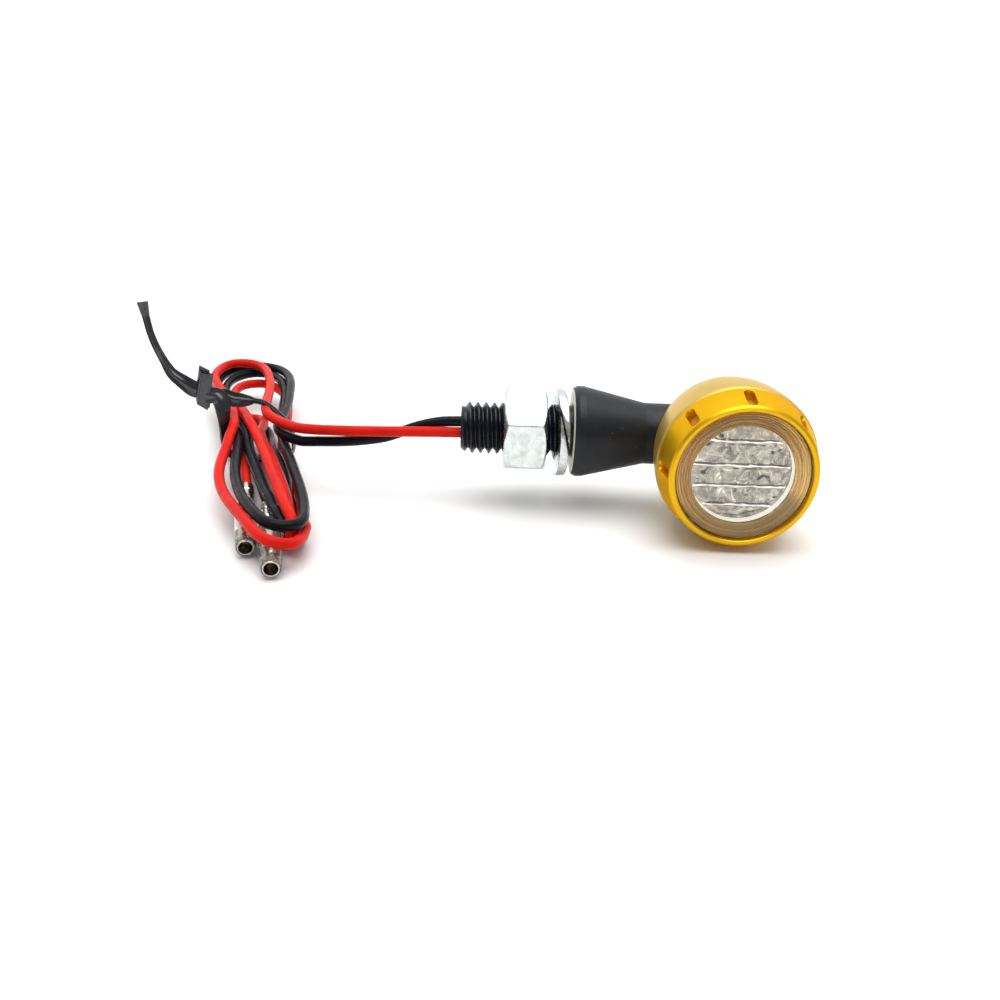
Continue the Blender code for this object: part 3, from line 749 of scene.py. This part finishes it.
def rib_glints():
    """Painted glints: thin glowing white lines along the ribs that run across the optic."""
    rng = np.random.default_rng(5)
    steps, wavers, swells = 60, 12, 20
    for number, z0 in enumerate(RIB_HEIGHTS, 1):
        reach = math.sqrt(OPTIC_R**2 - z0**2) - 0.3
        x = np.linspace(-reach, reach, steps)
        waver = np.interp(x, np.linspace(-reach, reach, wavers), rng.uniform(-0.09, 0.09, wavers))
        radius = np.interp(x, np.linspace(-reach, reach, swells), rng.uniform(0.05, 0.15, swells))
        path = np.stack([x + HEAD_X, np.full(steps, OPTIC_Y - 0.2), z0 + waver], 1)
        points, faces = tube(path, radius, 10)
        glint_tube = add_mesh(f"optic_rib_glint_{number}", points, faces, PAINTED_HIGHLIGHT_WHITE, "head", sharp=60)


def slot_liner():
    """The stepped band seen through the ring's slots, glowing a little with painted light."""
    corners = [(-16.7, 9.66, 0.02), (-16.7, 9.78, 0.02), (-14.5, 9.78, 0.02), (-14.5, 9.9, 0.02)]
    corners += [(-12.2, 9.9, 0.02), (-12.2, 9.74, 0.02), (-15.25, 9.74, 0.02), (-15.35, 9.66, 0.02)]
    piece = head_turned("slot_liner", rounded(corners), GOLD_DEEP_PAINTED_LIGHT)


HEAD_BUILDERS = (housing, bezel, lens, gasket, optic, rib_glints, well, slot_liner)
for build in (threaded_stud, hex_nut, spring_washer, end_plate, stem, *HEAD_BUILDERS):
    build()


# The leads, each from the stud to its hank, then round the hank to its terminal


WIRE_R = 0.8
RED_LEAD = [(-16.2, -0.4, 10.85), (-17.4, -0.4, 10.85), (-20.5, -0.5, 10.85), (-24, -0.6, 10.8)]
RED_LEAD += [(-29.5, -0.2, 10.5), (-35.5, 1.2, 9.9), (-40.5, 3.3, 9.2), (-44, 6, 8.6)]
BLACK_LEAD = [(-16.2, 0.4, 12.35), (-17.4, 0.4, 12.35), (-20.5, 0.95, 11.95), (-24, 1.25, 10.95)]
BLACK_LEAD += [(-27, 1.4, 9.7), (-29.5, 1.4, 8.9), (-34, 1.7, 8.1), (-39, 3.2, 7.3), (-43.3, 5.1, 6.6)]
RED_HANK = [
    (-46.8, 9, 8.4), (-49.4, 13, 8.3), (-50.3, 19.8, 8), (-51.6, 30.4, 7.7), (-54.6, 41.2, 7.3),
    (-58.6, 45.4, 7), (-62.2, 43, 7), (-63, 36.3, 7), (-60.2, 29, 7), (-56.9, 21.5, 6.8),
    (-54.9, 15.6, 6.9), (-53.7, 10.2, 6.6), (-53.6, 4.2, 5.7), (-53.5, -3.4, 4.7), (-51, -11.6, 4.3),
    (-46.2, -21, 4.9), (-43.5, -26.2, 5), (-40.9, -28.4, 4.7), (-38.3, -26.6, 3.8), (-38.3, -20.5, 2.8),
    (-39.9, -11.5, 2.4), (-43, -2, 2.2), (-45.6, 7, 2.2), (-47, 14, 2.4), (-47.7, 22, 2.8),
    (-48.5, 30, 3.3), (-50.4, 37.6, 3.8), (-53.6, 41.6, 4.2), (-57.8, 39.6, 4.6), (-58.8, 34, 5),
    (-57, 26, 5.6), (-54, 18, 6.8), (-51.2, 10.5, 7.2), (-47.9, 1.8, 7), (-44, -9.8, 6.5),
    (-40.9, -18.5, 5.6), (-38.9, -22.6, 4.4), (-38.9, -23.6, 2.6), (-39.6, -20.6, 1.4), (-41, -14, 2.6),
    (-43.2, -6.5, 3.6), (-46.3, 2.5, 4.2), (-49.3, 10, 4.4), (-51.2, 17, 3.6), (-51.9, 25, 1.8),
    (-54.4, 31, 1), (-58.1, 29.6, 1), (-57.6, 23.5, 1.4), (-55, 17, 2.4), (-53, 11, 3.2),
    (-51.2, 4, 3.5), (-49.8, -1.5, 3.2), (-48.83, -6.1, 2.9), (-48.27, -9.05, 2.69),
]
BLACK_HANK = [
    (-46.4, 8.6, 6.4), (-47.6, 13.6, 6.2), (-47.2, 20, 6.2), (-47.9, 28, 6.4), (-49.2, 37.6, 6.5),
    (-51.8, 43.6, 6.2), (-55.6, 46.9, 6), (-60, 46.6, 6), (-62.9, 41.4, 5.4), (-62.3, 33.5, 4.8),
    (-59.6, 25, 4.6), (-56.2, 17, 4.6), (-52.8, 10, 5.4), (-51.8, 2.5, 5.4), (-50.4, -6.3, 5.1),
    (-47.2, -16, 5.4), (-43.4, -23, 5.7), (-40.2, -25.6, 5.6), (-38, -22.9, 5.3), (-38.9, -15, 5.2),
    (-41.6, -5.5, 5.4), (-44.3, 3.4, 5.6), (-45.9, 9.6, 4.6), (-47.3, 15.5, 4.4), (-48.6, 24.4, 4.8),
    (-49.9, 35.5, 5), (-53.1, 43.6, 5.2), (-57.4, 45.2, 5.2), (-60.6, 41.6, 5), (-60.7, 34.5, 5),
    (-57.2, 24, 5), (-54.2, 15.6, 5.2), (-51.3, 6.5, 5.4), (-48.2, -2, 4.8), (-44.8, -11.5, 4.4),
    (-42, -18.9, 3.9), (-40.3, -21.9, 3), (-38.8, -20.4, 1.8), (-39.8, -14.5, 1.2), (-42.4, -5, 2.4),
    (-45.4, 3.6, 3.6), (-48.3, 11.5, 2.6), (-49.8, 19, 1.2), (-51.8, 25.6, 0.95), (-55.2, 27, 1),
    (-56.5, 22.5, 1.2), (-54, 15.6, 1.4), (-50.9, 7, 2.6), (-48.3, -0.5, 3.1), (-46.1, -7, 3),
    (-44.4, -12.15, 2.75), (-43.83, -15.1, 2.57),
]
TERMINALS = {
    "red": ((-48.83, -6.1, 2.9), (-45.45, -23.75, 1.65)),
    "black": ((-44.4, -12.15, 2.75), (-40.97, -29.76, 1.65)),
}
TERMINAL_R, TERMINAL_LENGTH, SLEEVE_R = 1.18, 18.0, 1.55
CRIMP_SHARE, CRIMP_R = 0.28, 1.25  # the part of a terminal that its sleeve leaves bare
STEP = 1.0  # between the points of a lead while it settles
APART = 1.68  # the least distance between the middles of two strands
BEND_R = 3.0  # tighter bends are eased
NEIGHBOURS = 5  # points this near along a lead don't push each other
SHARING = 0.7  # how far the pushes on one point are averaged: 0 adds them up, 1 takes their mean
SMOOTHING, EASING, EVENING, HOMING = 0.15, 0.5, 0.4, 0.012  # shares of each correction made in a round
ROUNDS, QUICK_ROUNDS, EVENING_PASSES = 300, 60, 3
AIR, FLOOR_AIR = 0.05, 0.02  # spare room round a terminal and over the floor
ENTRY_SHARE = 0.02  # a terminal's end, where its own lead goes in
HELD_POINTS = 5  # points of a lead held in line with its terminal


def settle(wires, fixed, rounds):
    """Moves the two leads apart where they touch, with their lengths and most of their routes kept."""
    cuts = [len(wires[0])]
    owner = np.repeat([0, 1], [len(w) for w in wires])
    index = np.concatenate([np.arange(len(w)) for w in wires])
    held = np.concatenate(fixed)
    p = np.concatenate(wires)
    home = np.split(p.copy(), cuts)
    pairs = (owner[:, None] != owner[None]) | (abs(index[:, None] - index[None]) > NEIGHBOURS)
    pairs = np.triu(pairs & ~(held[:, None] & held[None]))
    for _ in range(rounds):
        push_apart(p, pairs, held)
        clear_terminals(p, held)
        p[:, 2] = np.where(held, p[:, 2], np.maximum(p[:, 2], WIRE_R + FLOOR_AIR))
        parts = np.split(p, cuts)
        for wire, pinned, start in zip(parts, np.split(held, cuts), home):
            straighten(wire, pinned)
            wire[~pinned] += (start - wire)[~pinned] * HOMING
        p = np.concatenate(parts)
    return np.split(p, cuts)


def push_apart(p, pairs, held):
    between = p[:, None] - p[None]
    distance = np.sqrt((between**2).sum(-1)) + 1e-9
    i, j = np.nonzero(pairs & (distance < APART))
    if not len(i):
        return
    push = between[i, j] * ((APART - distance[i, j]) / distance[i, j] / 2)[:, None]
    move, count = np.zeros_like(p), np.zeros(len(p))
    np.add.at(move, i, push)
    np.add.at(move, j, -push)
    np.add.at(count, i, 1)
    np.add.at(count, j, 1)
    move /= np.maximum(count, 1)[:, None] ** SHARING
    p[~held] += move[~held]


def clear_terminals(p, held):
    for crimp, nose in TERMINALS.values():
        crimp, nose = np.array(crimp), np.array(nose)
        run = nose - crimp
        t = np.clip((p - crimp) @ run / (run @ run), 0, 1)
        out = p - crimp - t[:, None] * run
        distance = np.linalg.norm(out, axis=1) + 1e-9
        keep = np.where(t < CRIMP_SHARE, CRIMP_R, SLEEVE_R + AIR) + WIRE_R + AIR
        hit = (distance < keep) & ~held & (t > ENTRY_SHARE)
        p[hit] += (out * ((keep - distance) / distance)[:, None])[hit]


def straighten(wire, pinned):
    """Eases tight bends and evens the spacing."""
    middle = np.zeros_like(wire)
    middle[1:-1] = (wire[:-2] + wire[2:]) / 2 - wire[1:-1]
    size = np.linalg.norm(middle, axis=1) + 1e-12
    extra = np.maximum(0, 1 - STEP**2 / (2 * BEND_R) / size)
    wire[~pinned] += (middle * (SMOOTHING + EASING * extra[:, None]))[~pinned]
    for _ in range(EVENING_PASSES):
        run = wire[1:] - wire[:-1]
        length = np.linalg.norm(run, axis=1)[:, None] + 1e-9
        change = run / length * (length - STEP) * EVENING
        wire[:-1][~pinned[:-1]] += change[~pinned[:-1]]
        wire[1:][~pinned[1:]] -= change[~pinned[1:]]


def lead_paths():
    wires, fixed = [], []
    for lead, hank in ((RED_LEAD, RED_HANK), (BLACK_LEAD, BLACK_HANK)):
        wire = spline(lead + hank, STEP)
        pinned = np.zeros(len(wire), bool)
        lead_end = np.argmin(np.linalg.norm(wire - np.array(lead[-1]), axis=1))
        pinned[: lead_end - 1] = True
        pinned[-HELD_POINTS:] = True
        wires.append(wire)
        fixed.append(pinned)
    settled = settle(wires, fixed, ROUNDS)
    return [spline(wire + FLOOR, 0.5) for wire in settled]


def aimed(points, start, end):
    """Points along +X from the origin, turned and moved to run from start to end."""
    start, end = Vector(start), Vector(end)
    turn = np.array((end - start).to_track_quat("X", "Z").to_matrix())
    return np.asarray(points) @ turn.T + np.array(start) + FLOOR


def crimp_dents(points):
    """Squeezes the crimp's outside from above, round the middle of each of its two bands."""
    bands = sum(np.exp(-(((points[:, 0] - x) / 0.5) ** 2)) for x in (1.0, 3.5))
    top = (np.hypot(points[:, 1], points[:, 2]) > 0.9) & (points[:, 2] > 0)
    points[:, 2] -= np.where(top, 0.22 * bands * points[:, 2], 0)


def terminal(name):
    """The bullet terminal of one lead and the clear sleeve over it."""
    crimp, nose = TERMINALS[name]
    r, tip, bore, solder = TERMINAL_R, TERMINAL_LENGTH, 0.95, 0.82
    corners = [
        (0, solder, 0.03), (0, 1.12, 0.1), (1.9, 1.15, 0.1), (2.1, 1.0, 0.1), (2.5, 1.0, 0.1),
        (2.7, 1.15, 0.1), (4.4, 1.15, 0.15), (4.8, 0.95, 0.15), (5.6, 0.95, 0.2), (6.2, r, 0.3),
        (tip - 2.9, r, 0.05), (tip - 2.7, r - 0.09, 0.05), (tip - 2.4, r - 0.09, 0.05),
        (tip - 2.2, r, 0.05), (tip - 0.3, r, 0.1), (tip, r - 0.06, 0.05), (tip, 0.99, 0.03),
        (tip - 0.2, bore, 0.05), (tip - 6, bore, 0.05), (tip - 6, 0.05, 0), (4, 0.05, 0), (4, solder, 0),
    ]
    points, faces = lathe(rounded(corners, 3), "X", segments=48)
    crimp_dents(points)
    body = add_mesh(f"{name}_bullet", aimed(points, crimp, nose), faces, TINNED, "root", sharp=40)
    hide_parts(f"{name}_terminal")
    start, end, inner, bulge = 5.5, tip - 0.12, r + 0.03, 0.08
    corners = [
        (start, inner, 0.05), (start, SLEEVE_R - 0.05, 0.1), (start + 2, SLEEVE_R, 0.3),
        (end - 3.6, SLEEVE_R + bulge, 0.8), (end - 1.6, SLEEVE_R - bulge, 0.8), (end, inner + 0.1, 0.05),
        (end, inner, 0.02), (end - 1.6, inner + 0.16, 0.4),
    ]
    points, faces = lathe(rounded(corners, 3), "X", segments=64)
    sleeve = add_mesh(f"{name}_sleeve", aimed(points, crimp, nose), faces, VINYL, "root", sharp=40)
    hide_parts(f"{name}_terminal_sleeve")
    return body, sleeve


# The ribbon's section, as (share of its half width, height), with a ridge over the wire inside
RIBBON = [
    (-1, 0), (-0.94, 0.16), (-0.5, 0.15), (-0.3, 0.17), (-0.17, 0.3), (0.17, 0.3), (0.3, 0.17),
    (0.5, 0.15), (0.94, 0.16), (1, 0), (0.94, -0.14), (0, -0.14), (-0.94, -0.14),
]


def ribbon(stations, step=0.25):
    """Points and faces of a run of ribbon. A station is (x, y, height, half width, width direction)."""
    centres = np.array([s[:3] for s in stations], float)
    path = spline(centres, step)
    travelled = distances(centres)
    at = np.linspace(0, travelled[-1], len(path))
    width = np.interp(at, travelled, [s[3] for s in stations])
    across = np.stack([np.interp(at, travelled, [s[4][k] for s in stations]) for k in range(3)], 1)
    tangents, _, _ = frames(path)
    across -= tangents * (across * tangents).sum(1)[:, None]
    across /= np.linalg.norm(across, axis=1)[:, None]
    up = np.cross(tangents, across)
    section = np.array(RIBBON)
    sideways = across[:, None] * section[None, :, :1] * width[:, None, None]
    ring = sideways + up[:, None] * section[None, :, 1:]
    points = (path[:, None] + ring).reshape(-1, 3) + FLOOR
    return points, capped_grid(len(path), len(section))


def slab(corners, thickness=0.5, n=6):
    """A pillowed sheet of the tie between four corners, thick along Y, with n by n points on a side."""
    a, b, c, d = (np.array(corner, float) for corner in corners)
    points = []
    for side in (-1, 1):
        for i in range(n):
            for j in range(n):
                u, v = i / (n - 1), j / (n - 1)
                swell = 0.45 + 0.55 * (4 * u * (1 - u)) ** 0.4 * (4 * v * (1 - v)) ** 0.4
                p = (a * (1 - u) + b * u) * (1 - v) + (d * (1 - u) + c * u) * v
                points.append(p + np.array((0, side * thickness / 2 * swell, 0)))
    inner = [i * n + j for i in range(n - 1) for j in range(n - 1)]
    faces = [(k, k + 1, k + n + 1, k + n) for k in (*inner, *(n * n + k for k in inner))]
    rim = [i * n for i in range(n)] + [(n - 1) * n + j for j in range(1, n)]
    rim += [i * n + n - 1 for i in reversed(range(n - 1))] + list(reversed(range(1, n - 1)))
    faces += [(p, q, q + n * n, p + n * n) for p, q in zip(rim, rim[1:] + rim[:1])]
    return np.array(points) + FLOOR, faces


# The tie: the stations of its three runs of ribbon, and the corners of its folded block's sheets
TIE_TAIL = [
    (-68.9, 17, 24.9, 0.95, (1, 0, 0.05)), (-68.7, 17, 23.6, 0.78, (1, 0, 0.1)),
    (-68.5, 17, 22.4, 0.62, (1, 0.1, 0.1)), (-67.9, 16.5, 20.1, 0.6, (0.95, 0.2, 0.3)),
    (-67, 16, 17.9, 0.62, (0.85, 0.3, 0.45)), (-65.8, 16, 15.3, 0.7, (0.75, 0.35, 0.6)),
    (-64.6, 15.5, 13.6, 0.95, (0.6, 0.4, 0.75)), (-62.8, 15, 12.4, 1.2, (0.4, 0.3, 0.9)),
    (-61.3, 14.9, 11.4, 1.38, (0.25, 0.2, 0.95)), (-60.2, 14.9, 11.1, 1.4, (0.2, 0.1, 1)),
]
TIE_WRAP = [
    (-59.4, 14.3, 10.6, 1.2, (0.2, 0.1, 1)), (-58.2, 13.9, 10.6, 1.3, (0.3, 0.2, 1)),
    (-57.1, 13.5, 10.7, 1.35, (0.7, 0.3, 0.8)), (-56.3, 13, 10, 1.35, (1, 0.3, 0.3)),
    (-56, 12.5, 8.6, 1.2, (1, 0.35, 0.15)), (-55.9, 12.2, 7.2, 1.1, (0.7, 0.7, 0.1)),
    (-56, 12.2, 5.6, 1.1, (0.35, 1, 0)), (-56.1, 12.5, 3.6, 1.3, (0.1, 1, 0)),
    (-55.9, 12.9, 1.5, 1.4, (0, 1, 0)), (-54.4, 13.2, 0.35, 1.4, (0, 1, 0)),
]
TIE_STRAP = [
    (-57.2, 13.8, 10.5, 1.2, (0.1, 0.5, 0.9)), (-56, 13.8, 10.6, 1.25, (0, 0.4, 1)),
    (-54.7, 13.9, 10.15, 1.25, (0, 0.35, 1)), (-53.2, 14, 9.95, 1.15, (0, 0.35, 1)),
    (-52, 14.4, 9.8, 0.8, (0, 0.35, 1)), (-51.3, 14.8, 9.65, 0.45, (0, 0.4, 1)),
    (-50, 14.9, 9.35, 0.45, (0.1, 0.5, 0.9)), (-48.4, 14.3, 8.6, 0.5, (0.3, 0.3, 0.9)),
    (-47, 13, 7.95, 0.5, (0.4, 0.2, 0.9)), (-45.8, 11.7, 7.2, 0.55, (0.5, 0.3, 0.8)),
    (-44.9, 10.9, 5.9, 0.8, (0.3, 0.9, 0.2)), (-44.5, 10.8, 4.2, 1, (0, 1, 0)),
    (-44.8, 11.6, 2.3, 1.3, (0, 1, 0)), (-46, 12.6, 0.8, 1.4, (0, 1, 0)),
    (-48, 13, 0.35, 1.4, (0, 1, 0)), (-54.4, 13.2, 0.35, 1.4, (0, 1, 0)),
]
TIE_SHEETS = [
    [(-60, 15, 15.3), (-58.4, 15, 14.5), (-58.7, 15, 8.5), (-60.9, 15, 9.7)],
    [(-59.9, 14.6, 14.6), (-57.7, 14.6, 14), (-58.7, 14.6, 8.2), (-60.8, 14.6, 9.5)],
    [(-59.5, 14.1, 14.3), (-57.6, 14.1, 13.9), (-58.9, 14.1, 8), (-60.6, 14.1, 9)],
    [(-60.15, 15.1, 14.7), (-59.4, 14, 14.3), (-60.5, 14, 9), (-61.1, 15.1, 10.2)],
]


def tie():
    """The ribbon tie: its raised tail, folded block, wrap, and strap round the hank's waist."""
    parts = [ribbon(run) for run in (TIE_TAIL, TIE_WRAP, TIE_STRAP)]
    parts += [slab(corners) for corners in TIE_SHEETS]
    points, faces = [], []
    for part_points, part_faces in parts:
        base = sum(len(p) for p in points)
        points.append(part_points)
        faces += [tuple(base + k for k in face) for face in part_faces]
    piece = add_mesh("tie", np.concatenate(points), faces, TIE, "root", sharp=50)
    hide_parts("twist_tie")
    return piece


def leads():
    tie_piece = tie()
    for name, path, finish in zip(("red", "black"), lead_paths(), (RED, BLACK)):
        points, faces = tube(path, WIRE_R)
        wire = add_mesh(f"{name}_cord", points, faces, finish, "root", sharp=60)
        body, sleeve = terminal(name)
        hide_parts(f"{name}_wire")
        if name == "red":
            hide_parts("wire_hank")


leads()


# CAD nodes that stay


def finish_nodes():
    silver = plated("bright_silver", (0.9, 0.9, 0.92), (0.75, 0.76, 0.78), 0.1, 0.01)
    amber = Finish("amber_phosphor", Roughness=0.3)
    amber.colour(amber.noise(0.6, 2.0), (0.3, (0.9, 0.55, 0.10)), (0.7, (0.95, 0.72, 0.30)))
    white = plastic("board_white", (0.86, 0.86, 0.83), (0.76, 0.77, 0.74), 0.45, 0.3, 0.01)
    chip = plastic("component_black", (0.04, 0.04, 0.045), (0.02, 0.02, 0.022), 0.5, 0.15, 0.01)
    finishes = (
        (silver, ("reflector",)),
        (white, ("led_board",)),
        (chip, ("resistor", "diode")),
        (ZINC, ("stem_insert", "lock_washer", "insert_nut")),
        (RED, ("red_lead_in_stud", "red_lead_in_head")),
        (BLACK, ("black_lead_in_stud", "black_lead_in_head")),
        (amber.material, ("led_1", "led_2", "led_3")),
    )
    for finish, names in finishes:
        for name in names:
            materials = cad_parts[name].data.materials
            materials.clear()
            materials.append(finish)


finish_nodes()


# Floor, light and camera


FLOOR_HALF, FLOOR_DROP = 6.0, 0.0001  # metres


def floor():
    mesh = bpy.data.meshes.new("floor")
    corners = [(x * FLOOR_HALF, y * FLOOR_HALF, 0) for x, y in ((-1, -1), (1, -1), (1, 1), (-1, 1))]
    mesh.from_pydata(corners, [], [(0, 1, 2, 3)])
    obj = new_object("floor", mesh)
    obj.location.z = -FLOOR_DROP
    paper = Finish("floor_white", Roughness=0.7, Specular_IOR_Level=0.2)
    paper.colour(paper.noise(40, 2.0), (0.3, 0.9), (0.7, 0.91))
    mesh.materials.append(paper.material)


def key_light():
    """A broad, soft sun from almost overhead."""
    light = bpy.data.lights.new("key", "SUN")
    light.energy = 2.6
    light.angle = math.radians(60)
    obj = new_object("key", light)
    obj.rotation_euler = Vector((0.02, -0.06, 1.0)).to_track_quat("Z", "Y").to_euler()


SKY_AXIS = (0.0, 0.4, 0.22)  # towards the brightest part; its length sets how fast the light changes
SKY_STOPS = ((0.05, 0.15), (0.48, 0.27), (0.66, 0.55), (0.86, 1.0))
SKY_STRENGTH = 1.1


def sky():
    """A pale room: white behind the object, bright overhead and dimmest on the camera's side."""
    world = bpy.data.worlds.new("room")
    world.use_nodes = True
    bpy.context.scene.world = world
    tree = world.node_tree
    coordinates = tree.nodes.new("ShaderNodeTexCoord")
    toward = tree.nodes.new("ShaderNodeVectorMath")
    toward.operation = "DOT_PRODUCT"
    toward.inputs[1].default_value = SKY_AXIS
    tree.links.new(coordinates.outputs["Generated"], toward.inputs[0])
    shift = tree.nodes.new("ShaderNodeMath")
    shift.inputs[1].default_value = 0.5
    tree.links.new(toward.outputs["Value"], shift.inputs[0])
    ramp = tree.nodes.new("ShaderNodeValToRGB")
    fill_ramp(ramp.color_ramp, SKY_STOPS)
    tree.links.new(shift.outputs[0], ramp.inputs["Fac"])
    background = tree.nodes["Background"].inputs
    tree.links.new(ramp.outputs["Color"], background["Color"])
    background["Strength"].default_value = SKY_STRENGTH


CAMERA_MM = (-15.24, -157.76, 55.61)
CAMERA_YAW, CAMERA_PITCH, CAMERA_ROLL = (math.radians(a) for a in (1.610, 23.139, 2.542))
CAMERA_LENS, SENSOR_WIDTH, CLIP_START = 39.6, 36.0, 0.01


def camera():
    yaw, pitch, roll = CAMERA_YAW, CAMERA_PITCH, CAMERA_ROLL
    look = Vector((math.sin(yaw) * math.cos(pitch), math.cos(yaw) * math.cos(pitch), -math.sin(pitch)))
    level = Vector((math.cos(yaw), -math.sin(yaw), 0))
    above = level.cross(look)
    right = level * math.cos(roll) + above * math.sin(roll)
    up = above * math.cos(roll) - level * math.sin(roll)
    data = bpy.data.cameras.new("camera")
    data.lens = CAMERA_LENS
    data.sensor_width = SENSOR_WIDTH
    data.clip_start = CLIP_START
    obj = new_object("camera", data)
    turn = Matrix((right, up, -look)).transposed().to_4x4()
    obj.matrix_world = Matrix.Translation(place(CAMERA_MM)) @ turn
    bpy.context.scene.camera = obj


floor()
sky()
key_light()
camera()
bpy.context.scene.view_settings.view_transform = "Standard"
